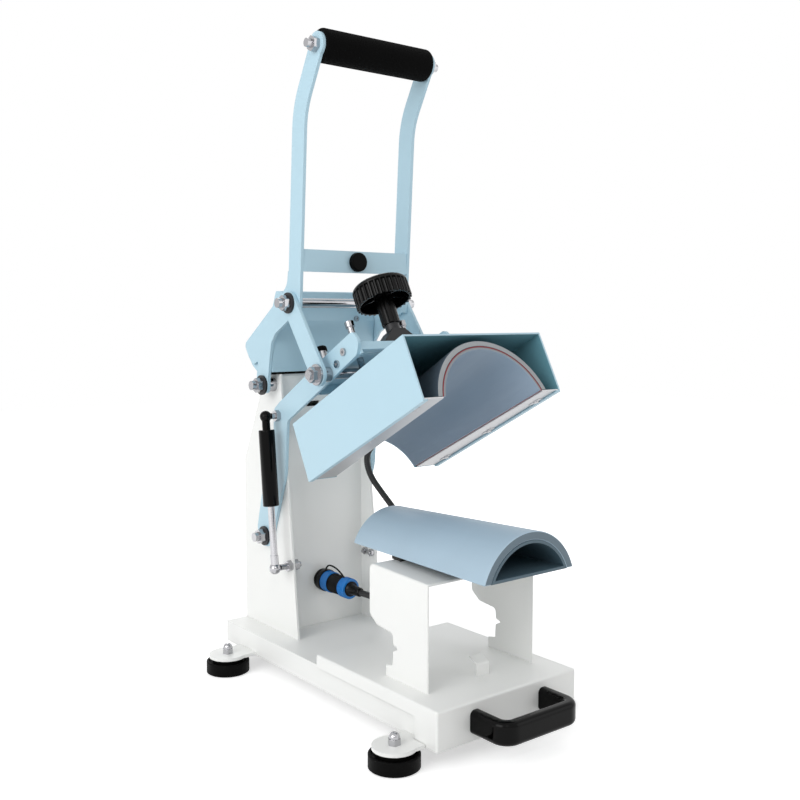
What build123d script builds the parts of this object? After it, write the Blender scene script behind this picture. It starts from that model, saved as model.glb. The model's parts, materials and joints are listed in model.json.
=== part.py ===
"""Bench heat press for shin guards, with a curved heater that swings down onto a curved lower platen.

Everything is drawn in millimetres, X to the right, Y from the drawer's front face to the rear and
Z up from the table. Side-view points are (y, z). At the end the whole machine is moved along Y, so
that the origin lies on the table under the middle of its length.
"""
from build123d import *
import math
import os

# Clearances
SEAT = 0.1       # curved faces that are seated in one another
RUN = 0.05       # shafts that turn or slide in a hole
GAP = 0.3        # faces that pass one another

# The whole machine with its handle up
WHOLE_WIDTH = 313.2
WHOLE_HEIGHT = 798.5

# Feet and base
FOOT_H = 19.8
FOOT_R = 27.75
FOOT_X = WHOLE_WIDTH / 2 - FOOT_R
FOOT_PLACES = ((-FOOT_X, 38.5), (FOOT_X, 62.0), (-FOOT_X, 394.5), (FOOT_X, 394.5))
EAR_R = 24.0
EAR_HALF = 21.0
EAR_T = 4.0
STUD_R = 4.0
BASE_HALF = 98.4
BASE_FRONT = 36.7
BASE_REAR = 452.4
BASE_H = 27.9
SHEET = 2.0
BASE_LIP = 12.0
BASE_TOP = FOOT_H + BASE_H

# Drawer that carries the lower platen
DRAWER_HALF = 104.0
DRAWER_LENGTH = 223.0
DRAWER_TOP = 63.2
DRAWER_LOW = 20.2
DRAWER_TRAVEL = 140.0
RUNNER_X = 60.0
BAR_W = 12.0
BAR_H = 9.0
BAR_FRONT = 42.0
BAR_REAR = 218.0
RUNNER_WALL = 3.0
PULL_HALF = 51.0
PULL_Z = 41.0
PULL_REACH = 53.0
PULL_H = 26.0
PULL_T = 15.0

# Stand under the lower platen
STAND_HALF = 80.4
STAND_T = 2.5
STAND_TOP = 182.0
STAND_RISE = 4.0
STAND_FRONT = 43.9
STAND_REAR = 147.8
SPACERS = ((0.0, 57.0, 40.0), (-36.5, 138.0, 24.0), (36.5, 138.0, 24.0))

# Lower platen, a tapered arch about an axis along Y
PLATEN_FRONT = -28.3
PLATEN_LENGTH = 240.0
PLATEN_AXIS_Z = 171.8
PLATEN_R_FRONT = 69.3
PLATEN_R_REAR = 60.2
PAD_T = 9.5
SHELL_T = 3.2
PLATEN_CHORD = 193.3

# Column
COL_HALF = 67.4
COL_WALL = 3.0
COL_TOP = 390.0
COL_EDGE_Y = 314.2
COL_LEAN = 0.11
COL_REAR = BASE_REAR + 0.1
COL_BEND_Z = 270.0
PANEL_Y = 362.0
COL_TOP_REAR = PANEL_Y + 33.4
SLOT_Z = 349.0

# Head on top of the column
HEAD_HALF = 79.3
HOOD_HALF = 66.0
GASKET_T = 3.0

# Pivots of the lift linkage, as seen from the side with the press open
ARM_PIVOT = (392.0, 173.0)
HANDLE_PIVOT = (373.6, 375.9)
LINK_ON_ARM = (238.6, 395.7)
ARM_SWING = 27.5
CRANK_R = 127.6
SHAFT_R = 6.0
NUT_AF = 17.0
NUT_T = 8.0
BOLT_END = 6.5
WASHER_R = 12.8
WASHER_T = 2.5

# Plates of the linkage, from the column outwards
ARM_X = 68.0
ARM_T = 4.0
HANDLE_X = 80.0
HANDLE_T = 4.0
LINK_T = 4.0
LINK_HALF = 14.0
LINK_X = HANDLE_X + HANDLE_T + GAP

# Handle
GRIP_R = 19.5
GRIP_AT = (243.4, WHOLE_HEIGHT - GRIP_R)
GRIP_CORE_R = 10.0
STRIP_HALF = 13.5
CROSSBAR_Y = 280.0
CROSSBAR_Z = (519.0, 546.0)
BUMPER_R = 12.0
BUMPER_L = 6.4

# Upper casing and heater, measured from the casing's lower front edge
CASING_HALF = 101.1
CASING_H = 75.0
CASING_LENGTH = 241.0
CASING_LIP = 6.0
CLOSED_BOTTOM = 187.1
HEATER_DROP = 16.0
HEATER_R_FRONT = 71.6
HEATER_R_REAR = 62.5
HEATER_PAD_T = 3.0
ELEMENT_T = 0.8
MAT_T = 7.0
STRIP_T = 1.5
SCREW_PITCH = 2.0
LIFT = 3 * SCREW_PITCH
SCREW_S = 128.0
PIN_S = 156.0
PIN_X = 40.0
PIN_R = 4.2
PIN_HEAD_R = 5.8
BRIDGE_H = 120.4
PIN_TOP = BRIDGE_H + LIFT + 42.6
BRIDGE_T = 3.0
BRIDGE_S = (115.0, 236.0)
BRIDGE_EAR = 62.0
BRIDGE_EAR_H = (108.4, 129.0)
ARM_SCREWS = ((141.0, 122.6), (159.5, 115.6))
STOP_AT = (-57.0, 204.0)
STOP_TALL = 29.0

# Pressure knob
KNOB_R = 35.0
KNOB_RIM_H = 25.0
KNOB_TOP = 206.0
KNOB_RIBS = 30
HUB_R = 11.5
HUB_LOW = 151.0
NUT_HOUSING_TOP = 150.4

# Gas spring
STRUT_X = 91.0
STRUT_LOW = (335.9, 142.5)
STRUT_HIGH = (355.1, 336.7)
CYL_R = 10.3
ROD_R = 4.4
CYL_L = 98.0
BALL_R = 7.5
BALL_STUD_R = 4.0

# Heater cable and its plug
SOCKET_AT = (-1.0, 109.0)
SOCKET_R = 14.0
PLUG_L = 84.0
CABLE_R = 4.0
GLAND_X = 42.0
GLAND_H = 55.0
GLAND_R = 7.0
GLAND_OUT = 12.0

# Controls on the right-hand wall and on the back
PANEL_AT = (405.6, 98.0)
WALL_SCREWS = ((336.0, 140.6), (350.0, 140.6))
PANEL_W = 92.0
PANEL_TALL = 78.0
PANEL_T = 6.0
BUTTON_R = 6.0
BUTTON_TRAVEL = 1.5
INLET_Z = 85.0
ROCKER_AT = (COL_REAR + 0.5, INLET_Z + 28.0)
ROCKER_PIN_R = 1.4
ROCKER_TILT = 20.0

WHOLE_LENGTH = BASE_REAR + 4.0 + PULL_REACH
TO_MIDDLE = PULL_REACH - WHOLE_LENGTH / 2

pieces = {}


def turned(point, centre, degrees):
    """A side-view point turned about a centre, positive from +Y towards +Z."""
    a = math.radians(degrees)
    dy, dz = point[0] - centre[0], point[1] - centre[1]
    return (centre[0] + dy * math.cos(a) - dz * math.sin(a),
            centre[1] + dy * math.sin(a) + dz * math.cos(a))


def angle_of(a, b):
    """Direction from side-view point a to b, in degrees from +Y."""
    return math.degrees(math.atan2(b[1] - a[1], b[0] - a[0]))


def along(point, degrees, distance):
    a = math.radians(degrees)
    return (point[0] + distance * math.cos(a), point[1] + distance * math.sin(a))


def plate(corners, x0, x1):
    """A flat plate between two X values from side-view corners (y, z) or (y, z, fillet radius)."""
    points = [(c[0], c[1]) for c in corners]
    radii = [c[2] if len(c) > 2 else 0 for c in corners]
    face = make_face(Plane.YZ.offset(x0) * FilletPolyline(*points, radius=radii, close=True))
    return extrude(face, amount=x1 - x0, dir=(1, 0, 0))


def block(x0, x1, y0, y1, z0, z1):
    return Pos((x0 + x1) / 2, (y0 + y1) / 2, (z0 + z1) / 2) * Box(x1 - x0, y1 - y0, z1 - z0)


def bar(start, direction, radius, length):
    """A round bar from start along a direction."""
    seat = Plane(origin=start, z_dir=direction)
    return seat * Cylinder(radius, length, align=(Align.CENTER, Align.CENTER, Align.MIN))


def cross_bar(at, radius, x0, x1):
    """A round bar along X at a side-view point."""
    return bar((x0, at[0], at[1]), (1, 0, 0), radius, x1 - x0)


def hex_nut(start, direction, across, thick, bore=0.0):
    seat = Plane(origin=start, z_dir=direction)
    nut = seat * extrude(RegularPolygon(across / 2, 6, major_radius=False), amount=thick)
    nut = nut & bar(start, direction, across * 0.56, thick)
    if bore:
        nut -= bar(start, direction, bore, thick)
    return nut


def mirrored(shape):
    return mirror(shape, about=Plane.YZ)


def both(shape):
    """A piece and its twin on the other side of the machine."""
    return [shape, mirrored(shape)]


def keep(name, *solids):
    """Collects the separate solids of one named piece."""
    flat = []
    for item in solids:
        flat += item if isinstance(item, list) else [item]
    pieces[name] = flat


def col_front(z):
    return COL_EDGE_Y + COL_LEAN * z


# Where the linkage stands when the press is closed
LINK_ON_ARM_SHUT = turned(LINK_ON_ARM, ARM_PIVOT, ARM_SWING)
SHUT_REACH = math.dist(HANDLE_PIVOT, LINK_ON_ARM_SHUT)
LINK_L = SHUT_REACH - CRANK_R


def knee_point():
    """The open knee: crank and link lengths laid off from their pivots, on the upper side."""
    span = math.dist(HANDLE_PIVOT, LINK_ON_ARM)
    cos_a = (CRANK_R ** 2 + span ** 2 - LINK_L ** 2) / (2 * CRANK_R * span)
    lean = angle_of(HANDLE_PIVOT, LINK_ON_ARM) - math.degrees(math.acos(cos_a))
    return along(HANDLE_PIVOT, lean % 360, CRANK_R)


KNEE = knee_point()
KNEE_SHUT_ANGLE = angle_of(HANDLE_PIVOT, LINK_ON_ARM_SHUT) % 360
HANDLE_SWING = KNEE_SHUT_ANGLE - angle_of(HANDLE_PIVOT, KNEE) % 360
LINK_TURN = (KNEE_SHUT_ANGLE - 180) - angle_of(LINK_ON_ARM, KNEE) - ARM_SWING

STRUT_HIGH_SHUT = turned(STRUT_HIGH, ARM_PIVOT, ARM_SWING)
STRUT_ANGLE = angle_of(STRUT_LOW, STRUT_HIGH)
STRUT_TURN = angle_of(STRUT_LOW, STRUT_HIGH_SHUT) - STRUT_ANGLE
STRUT_SHORTER = math.dist(STRUT_LOW, STRUT_HIGH) - math.dist(STRUT_LOW, STRUT_HIGH_SHUT)

# The casing's own frame: x across, y along it to the rear, z square to its open underside
CASING_CORNER = turned((PLATEN_FRONT, CLOSED_BOTTOM), ARM_PIVOT, -ARM_SWING)
TILT = math.radians(ARM_SWING)
CASING = Plane(origin=(0, *CASING_CORNER), x_dir=(1, 0, 0), z_dir=(0, math.sin(TILT), math.cos(TILT)))


def in_casing(shape):
    return CASING * shape


def casing_point(s, h):
    """Side-view point at s along the casing and h above its lower edge."""
    return (CASING_CORNER[0] + s * math.cos(TILT) + h * math.sin(TILT),
            CASING_CORNER[1] - s * math.sin(TILT) + h * math.cos(TILT))


def make_base():
    pan = block(-BASE_HALF, BASE_HALF, BASE_FRONT, BASE_REAR, FOOT_H, BASE_TOP)
    inner = BASE_HALF - SHEET
    pan -= block(-inner, inner, BASE_FRONT + SHEET, BASE_REAR - SHEET, FOOT_H + SHEET, BASE_TOP - SHEET)
    mouth = inner - BASE_LIP
    pan -= block(-mouth, mouth, BASE_FRONT + SHEET + BASE_LIP, BASE_REAR - SHEET - BASE_LIP,
                 FOOT_H - 1, FOOT_H + SHEET + 1)
    wall_x = COL_HALF - COL_WALL / 2
    for side in (-1, 1):
        for y in (PANEL_Y + 30, BASE_REAR - 25):
            pan -= bar((side * (wall_x - 14), y, FOOT_H), (0, 0, 1), 3.0 + SEAT, BASE_H)
    for side in (-1, 1):
        x = side * RUNNER_X
        pan += block(x - BAR_W / 2, x + BAR_W / 2, BAR_FRONT, BAR_REAR, BASE_TOP - 0.5, BASE_TOP + BAR_H)
    keep("base_frame", pan)
    room = DRAWER_HALF + 1.0
    ears = []
    for x, y in FOOT_PLACES:
        near, far = sorted((math.copysign(BASE_HALF, x), x))
        ear = Pos(x, y, FOOT_H + EAR_T / 2) * Cylinder(EAR_R, EAR_T)
        ear += block(near, far, y - EAR_HALF, y + EAR_HALF, FOOT_H, FOOT_H + EAR_T)
        ear -= block(-BASE_HALF, BASE_HALF, 0, BASE_REAR, 0, DRAWER_TOP)
        ear -= block(-room, room, 0, BASE_FRONT, 0, DRAWER_TOP)
        ear -= bar((x, y, 0), (0, 0, 1), STUD_R + SEAT, BASE_TOP)
        ears.append(ear)
    keep("foot_ears", ears)


def make_feet():
    rubber, steel = [], []
    top = FOOT_H + EAR_T
    for x, y in FOOT_PLACES:
        foot = Pos(x, y, FOOT_H * 0.41) * Cylinder(FOOT_R, FOOT_H * 0.82)
        foot = fillet(foot.edges().filter_by(GeomType.CIRCLE), 1.6)
        foot += bar((x, y, FOOT_H * 0.8), (0, 0, 1), FOOT_R * 0.72, FOOT_H * 0.2)
        foot -= bar((x, y, FOOT_H * 0.3), (0, 0, 1), STUD_R + SEAT, FOOT_H)
        rubber.append(foot)
        steel.append(bar((x, y, FOOT_H * 0.3), (0, 0, 1), STUD_R, top + 8 - FOOT_H * 0.3))
        nut = hex_nut((x, y, top), (0, 0, 1), 12.5, 6.5)
        dome = Pos(x, y, top + 7.5) * Sphere(6.0)
        nut += dome & block(x - 7, x + 7, y - 7, y + 7, top + 6.0, top + 15)
        nut -= bar((x, y, top), (0, 0, 1), STUD_R + SEAT, 9.0)
        steel.append(nut)
    keep("rubber_feet", rubber)
    keep("foot_fasteners", steel)


def make_column():
    corners = [(col_front(BASE_TOP), BASE_TOP), (col_front(COL_TOP), COL_TOP), (COL_TOP_REAR, COL_TOP),
               (COL_REAR, COL_BEND_Z, 12), (COL_REAR, BASE_TOP)]
    inner = COL_HALF - COL_WALL
    shell = plate(corners, inner, COL_HALF) + plate(corners, -COL_HALF, -inner)
    shell += block(-inner, inner, PANEL_Y, PANEL_Y + COL_WALL, BASE_TOP, COL_TOP)
    shell += block(-inner, inner, PANEL_Y, COL_TOP_REAR - 1, COL_TOP - COL_WALL, COL_TOP)
    shell += block(-inner, inner, PANEL_Y, COL_REAR - 6, BASE_TOP, BASE_TOP + COL_WALL)
    for side in (-1, 1):
        lip = sorted((side * inner, side * (inner - 14)))
        shell += block(lip[0], lip[1], COL_REAR - 4.6, COL_REAR - 2.6, BASE_TOP, COL_BEND_Z - 8)
    shell -= cross_bar(ARM_PIVOT, SHAFT_R + SEAT, -COL_HALF, COL_HALF)
    shell -= cross_bar(HANDLE_PIVOT, SHAFT_R + SEAT, -COL_HALF, COL_HALF)
    shell -= cross_bar(STRUT_LOW, BALL_STUD_R + SEAT, -COL_HALF, 0)
    shell -= block(-24, -4, PANEL_Y - 1, PANEL_Y + COL_WALL + 1, SLOT_Z - 3.5, SLOT_Z + 3.5)
    for at in WALL_SCREWS:
        shell -= cross_bar(at, 2.5 + SEAT, 0, COL_HALF + 1)
    x, z = SOCKET_AT
    shell -= bar((x, PANEL_Y - 1, z), (0, 1, 0), SOCKET_R - 3 + SEAT, COL_WALL + 2)
    y, zp = PANEL_AT
    shell -= block(inner - 1, COL_HALF + 1, y - PANEL_W / 2 + 6, y + PANEL_W / 2 - 6,
                   zp - PANEL_TALL / 2 + 6, zp + PANEL_TALL / 2 - 6)
    for side in (-1, 1):
        for y in (PANEL_Y + 30, BASE_REAR - 25):
            shell -= bar((side * (inner - 12.5), y, BASE_TOP - 1), (0, 0, 1), 3.0 + SEAT, 6)
    keep("column_shell", shell)


def make_back_cover():
    x = COL_HALF - COL_WALL - GAP
    low = BASE_TOP + COL_WALL + GAP
    top = COL_TOP - COL_WALL - GAP
    rear_at_top = COL_TOP_REAR + 1.3
    corners = [(COL_REAR - 2.4, low), (COL_REAR, low), (COL_REAR, COL_BEND_Z, 12), (rear_at_top, top),
               (rear_at_top - 2.6, top), (COL_REAR - 2.4, COL_BEND_Z - 0.5, 9)]
    cover = plate(corners, -x, x)
    cover -= block(-14.2, 14.2, COL_REAR - 5, COL_REAR + 1, INLET_Z - 10.2, INLET_Z + 10.2)
    cover -= block(-11.2, 11.2, COL_REAR - 5, COL_REAR + 1, INLET_Z + 20.8, INLET_Z + 35.2)
    for z in (150, 165, 180, 195):
        cover -= block(-30, 30, COL_REAR - 5, COL_REAR + 1, z, z + 4)
    keep("column_back_cover", cover)


def head_profile():
    """Side view of the head, clear of the crank plates beside it."""
    low = COL_TOP + GASKET_T
    return [(357.0, low), (350.0, 459.0), (357.0, 473.0), (424.0, 428.0, 12), (408.0, 401.0), (396.0, low)]


def make_head():
    low = COL_TOP + GASKET_T
    outer = plate(head_profile(), -HEAD_HALF, HEAD_HALF)
    hood = [(350.0, 459.0), (352.5, 497.0, 3), (368.0, 497.0, 3), (392.0, 440.0)]
    outer += plate(hood, -HOOD_HALF, HOOD_HALF)
    inner = [(359.5, low - 1), (353.0, 459.3), (360.0, 468.5), (420.5, 428.0), (405.5, 403.5), (394.0, low - 1)]
    outer -= plate(inner, -HEAD_HALF + SHEET, HEAD_HALF - SHEET)
    outer -= plate([(353.2, 458.0), (355.3, 494.0), (366.0, 494.0), (389.0, 441.0)],
                   -HOOD_HALF + SHEET, HOOD_HALF - SHEET)
    fix = COL_TOP_REAR - 14
    outer += block(-HOOD_HALF, HOOD_HALF, 360, fix, low, low + SHEET)
    for x in (-48.4, 48.4):
        outer -= bar((x, 340, 461.5), (0, 1, 0), 2.0 + SEAT, 22)
    keep("head_cover", outer)
    keep("head_gasket", plate([(358.6, COL_TOP), (358.6, low), (395.0, low), (395.0, COL_TOP)],
                              -HEAD_HALF + 1, HEAD_HALF - 1))


def pivot_nuts(at, x0):
    """Lock nut and bolt end outside x0, on both sides."""
    nut = hex_nut((x0, *at), (1, 0, 0), NUT_AF, NUT_T, SHAFT_R + SEAT)
    return both(nut)


def washer_pair(at, x0):
    ring = cross_bar(at, WASHER_R, x0, x0 + WASHER_T) - cross_bar(at, SHAFT_R + SEAT, x0, x0 + WASHER_T)
    return both(ring)


def make_frame_pivots():
    arm_out = ARM_X + ARM_T + GAP
    handle_out = HANDLE_X + HANDLE_T + GAP
    arm_end = arm_out + WASHER_T + NUT_T + BOLT_END
    handle_end = handle_out + WASHER_T + NUT_T + BOLT_END
    arm_shaft = cross_bar(ARM_PIVOT, SHAFT_R, -arm_end, arm_end)
    crank_shaft = cross_bar(HANDLE_PIVOT, SHAFT_R, -handle_end, handle_end)
    for side in (-1, 1):
        x = sorted((side * COL_HALF, side * (HANDLE_X - GAP)))
        crank_shaft += cross_bar(HANDLE_PIVOT, SHAFT_R + 3, x[0], x[1])
    keep("pivot_shafts", arm_shaft, crank_shaft)
    keep("frame_washers", washer_pair(ARM_PIVOT, arm_out), washer_pair(HANDLE_PIVOT, handle_out))
    fasteners = pivot_nuts(ARM_PIVOT, arm_out + WASHER_T) + pivot_nuts(HANDLE_PIVOT, handle_out + WASHER_T)
    for x in (-48.4, 48.4):
        screw = bar((x, 349.0, 461.5), (0, 1, 0), 2.0, 10)
        screw += bar((x, 347.8, 461.5), (0, 1, 0), 3.8, 2.1) - bar((x, 347.6, 461.5), (0, 1, 0), 1.5, 1.4)
        fasteners.append(screw)
    for x in (-57, 57):
        for z in (62, 250):
            head = bar((x, COL_REAR + 0.05, z), (0, 1, 0), 4.0, 2.2)
            fasteners.append(head - bar((x, COL_REAR + 1.2, z), (0, 1, 0), 1.6, 2))
    inner = COL_HALF - COL_WALL
    for at in WALL_SCREWS:
        screw = cross_bar(at, 2.5, inner - 7, COL_HALF) + cross_bar(at, 4.6, COL_HALF, COL_HALF + 2.4)
        fasteners.append(screw + hex_nut((inner - 4.5, *at), (1, 0, 0), 9.0, 4.5))
    keep("column_fasteners", fasteners)


def make_ball_studs():
    """The gas spring is on the left only: one stud on the column wall, one on the arm."""
    neck_x = STRUT_X - BALL_R - GAP
    low = cross_bar(STRUT_LOW, BALL_STUD_R, COL_HALF - 14, neck_x)
    low += hex_nut((COL_HALF, *STRUT_LOW), (1, 0, 0), 13.0, 6.0)
    low += hex_nut((COL_HALF - COL_WALL - 7, *STRUT_LOW), (1, 0, 0), 13.0, 7.0)
    keep("lower_ball_stud", mirrored(low))
    high = cross_bar(STRUT_HIGH, BALL_STUD_R, ARM_X, neck_x)
    high += hex_nut((ARM_X + ARM_T, *STRUT_HIGH), (1, 0, 0), 13.0, 6.0)
    keep("upper_ball_stud", mirrored(high))


def make_socket():
    x, z = SOCKET_AT
    face = PANEL_Y - 5
    body = bar((x, PANEL_Y - 3, z), (0, 1, 0), SOCKET_R, 3)
    body += bar((x, face, z), (0, 1, 0), SOCKET_R - 2.5, 5)
    body += bar((x, PANEL_Y, z), (0, 1, 0), SOCKET_R - 3, 20)
    keep("heater_socket", body)


def make_plug():
    """Round cable plug: black grip between two blue rings, pointing to the front."""
    x, z = SOCKET_AT
    face = PANEL_Y - 5
    back = (0, -1, 0)
    grip = bar((x, face, z), back, SOCKET_R + 1.0, 9) + bar((x, face - 22, z), back, SOCKET_R - 1.5, 26)
    grip += bar((x, face - 9, z), back, SOCKET_R - 3.5, 13)
    nose = Cone(9.0, 6.5, 22, align=(Align.CENTER, Align.CENTER, Align.MIN))
    nose = Plane(origin=(x, face - 62, z), z_dir=back) * nose
    grip += nose
    grip += bar((x, face - 48, z), back, SOCKET_R - 4.0, 14)
    keep("heater_plug", grip)
    first = bar((x, face - 9, z), back, SOCKET_R, 13) - bar((x, face - 9, z), back, SOCKET_R - 3.5, 13)
    second = bar((x, face - 48, z), back, SOCKET_R - 0.5, 14) - bar((x, face - 48, z), back, SOCKET_R - 4.0, 14)
    keep("plug_rings", first, second)


# Route of the heater cable: from the plug, round behind the lower platen, up into the casing's rear
CABLE_START = (SOCKET_AT[0], PANEL_Y - 5 - PLUG_L, SOCKET_AT[1])
CABLE_END = (GLAND_X, *casing_point(CASING_LENGTH + GLAND_OUT, GLAND_H))
CABLE_ROUTE = [CABLE_START, (SOCKET_AT[0], 250, SOCKET_AT[1]), (14, 232, 107), (36, 226, 115),
               (50, 230, 134), (59, 242, 160), (61, 257, 186), (56, 274, 210), (47, 291, 232),
               (37, 305, 255), (36, 312, 280),
               (GLAND_X, *casing_point(CASING_LENGTH + GLAND_OUT + 27, GLAND_H)), CABLE_END]


def cable_radii(route):
    """Largest arc that each corner's two runs allow."""
    radii = []
    for a, b, c in zip(route, route[1:], route[2:]):
        into, out = Vector(b) - Vector(a), Vector(c) - Vector(b)
        half = math.radians(into.get_angle(out)) / 2
        radii.append(0.45 * min(into.length, out.length) / math.tan(half))
    return radii


def make_cable():
    radii = cable_radii(CABLE_ROUTE)
    path = FilletPolyline(*CABLE_ROUTE, radius=radii)
    tube = sweep(Plane(origin=path @ 0, z_dir=path % 0) * Circle(CABLE_R), path=path)
    print("cable arcs", [round(r) for r in radii], "length", round(path.length),
          "volume ratio", round(tube.volume / (math.pi * CABLE_R ** 2 * path.length), 4))
    keep("heater_cable", tube)
    wall = CASING_LENGTH - SHEET
    gland = bar((GLAND_X, wall - 8, GLAND_H), (0, 1, 0), GLAND_R - 1, SHEET + 8)
    gland += hex_nut((GLAND_X, CASING_LENGTH, GLAND_H), (0, 1, 0), 2 * GLAND_R, GLAND_OUT / 2)
    nose = Plane(origin=(GLAND_X, CASING_LENGTH + GLAND_OUT / 2, GLAND_H), z_dir=(0, 1, 0))
    gland += nose * Cone(GLAND_R - 0.8, CABLE_R + 0.8, GLAND_OUT / 2, align=(Align.CENTER, Align.CENTER, Align.MIN))
    keep("cable_gland", in_casing(gland))


def make_drawer():
    pan = block(-DRAWER_HALF, DRAWER_HALF, 0, DRAWER_LENGTH, DRAWER_LOW, DRAWER_TOP)
    rim = pan.edges().group_by(Axis.Z)[-1] + pan.edges().filter_by(Axis.Z)
    pan = fillet(rim, 2.6)
    inner = DRAWER_HALF - SHEET + 0.1
    pan -= block(-inner, inner, SHEET, DRAWER_LENGTH - SHEET, DRAWER_LOW - 1, DRAWER_TOP - SHEET)
    above = BASE_TOP + GAP
    pan -= block(-DRAWER_HALF - 1, DRAWER_HALF + 1, BASE_FRONT - GAP, DRAWER_LENGTH + 1, DRAWER_LOW - 1, above)
    bars = BAR_W / 2 + RUNNER_WALL + GAP
    for side in (-1, 1):
        pan -= block(side * RUNNER_X - bars, side * RUNNER_X + bars, DRAWER_LENGTH - 5, DRAWER_LENGTH + 1,
                     above - 1, DRAWER_TOP - SHEET)
    tab = [(49, DRAWER_TOP), (49, DRAWER_TOP + 14.5, 3), (63, DRAWER_TOP + 21), (63, DRAWER_TOP + 19),
           (51, DRAWER_TOP + 13.4, 1.5), (51, DRAWER_TOP)]
    pan += plate(tab, -3.4, 15)
    for x in (-PULL_HALF, PULL_HALF):
        pan -= bar((x, -1, PULL_Z), (0, 1, 0), 2.5 + SEAT, SHEET + 2)
    keep("drawer_pan", pan)


def make_runners():
    """Plastic channels under the drawer that slide over the bars on the base."""
    channels = []
    for side in (-1, 1):
        x = side * RUNNER_X
        top = DRAWER_TOP - SHEET
        wide = BAR_W / 2 + GAP
        channel = block(x - wide - RUNNER_WALL, x + wide + RUNNER_WALL, SHEET, DRAWER_LENGTH - SHEET,
                        BASE_TOP + GAP, top)
        channel -= block(x - wide, x + wide, SHEET - 1, DRAWER_LENGTH, BASE_TOP - 1, BASE_TOP + BAR_H + GAP)
        channels.append(channel)
    keep("drawer_runners", channels)


def make_pull():
    path = FilletPolyline((-PULL_HALF, 0, PULL_Z), (-PULL_HALF, -PULL_REACH + PULL_T / 2, PULL_Z),
                          (PULL_HALF, -PULL_REACH + PULL_T / 2, PULL_Z), (PULL_HALF, 0, PULL_Z), radius=(13, 13))
    section = Plane(origin=path @ 0, x_dir=(1, 0, 0), z_dir=path % 0) * RectangleRounded(PULL_T, PULL_H, 6)
    pull = sweep(section, path=path)
    for x in (-PULL_HALF, PULL_HALF):
        pull -= bar((x, -16, PULL_Z), (0, 1, 0), 2.5 + SEAT, 17)
    keep("drawer_handle", pull)


def stand_top(y):
    """Height of the stand's top plate, which rises towards the rear."""
    return STAND_TOP + STAND_RISE * (y - STAND_FRONT) / (STAND_REAR - STAND_FRONT)


def make_stand():
    z0 = DRAWER_TOP
    side = [(STAND_FRONT, z0), (STAND_FRONT, STAND_TOP, 2), (STAND_REAR, stand_top(STAND_REAR), 7),
            (STAND_REAR, 127.0, 8), (134.0, 116.5, 6), (105.5, 113.5, 5), (104.0, 101.0, 2), (95.0, 98.5, 1.2),
            (104.5, 94.0, 0.8), (105.5, 78.0, 1.0), (117.4, 75.5, 1.5), (117.4, z0)]
    solid = plate(side, -STAND_HALF, STAND_HALF)
    solid = fillet(solid.edges().group_by(Axis.X)[0].sort_by(Axis.Z)[-1], 2.4)
    solid = fillet(solid.edges().group_by(Axis.X)[-1].sort_by(Axis.Z)[-1], 2.4)
    inner = STAND_HALF - STAND_T
    hollow = [(0, z0 - 1), (0, stand_top(0) - STAND_T), (200, stand_top(200) - STAND_T), (200, z0 - 1)]
    solid -= plate(hollow, -inner, inner)
    for x, y, width in SPACERS:
        solid -= bar((x, y, STAND_TOP - 6), (0, 0, 1), 3 + SEAT, 20)
    keep("platen_stand", solid)


def tapered(radius_front, radius_rear, y0, length, axis_z):
    """A solid cone about an axis along Y."""
    seat = Plane(origin=(0, y0, axis_z), x_dir=(1, 0, 0), z_dir=(0, 1, 0))
    return seat * Cone(radius_front, radius_rear, length, align=(Align.CENTER, Align.CENTER, Align.MIN))


def make_platen():
    y0, y1 = PLATEN_FRONT, PLATEN_FRONT + PLATEN_LENGTH
    upper = block(-90, 90, y0, y1, PLATEN_CHORD, 300)
    ledge = block(-90, 90, y0, y1, PLATEN_CHORD, PLATEN_CHORD + SHELL_T)

    def arch(depth):
        return tapered(PLATEN_R_FRONT - depth, PLATEN_R_REAR - depth, y0, PLATEN_LENGTH, PLATEN_AXIS_Z) & upper

    pad = arch(0) - arch(PAD_T)
    shell = arch(PAD_T) - arch(PAD_T + SHELL_T) + (ledge & arch(PAD_T))
    under = plate([(0, 100), (0, stand_top(0)), (200, stand_top(200)), (200, 100)], -90, 90)
    spacers, bolts = [], []
    for x, y, width in SPACERS:
        spacer = block(x - width / 2, x + width / 2, y - 8, y + 8, STAND_TOP, PLATEN_CHORD) - under
        spacers.append(spacer - bar((x, y, STAND_TOP - 1), (0, 0, 1), 3 + SEAT, 20))
        shell -= bar((x, y, PLATEN_CHORD - 1), (0, 0, 1), 3 + SEAT, SHELL_T + 2)
        low = stand_top(y - 5) - STAND_T
        bolt = bar((x, y, low - 6), (0, 0, 1), 3, PLATEN_CHORD + SHELL_T + 2 - low + 6)
        bolt += hex_nut((x, y, low - 4), (0, 0, 1), 9, 4)
        bolts.append(bolt + bar((x, y, PLATEN_CHORD + SHELL_T), (0, 0, 1), 4.5, 3))
    keep("platen_pad", pad)
    keep("platen_shell", shell)
    keep("platen_spacers", spacers)
    keep("platen_bolts", bolts)


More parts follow.
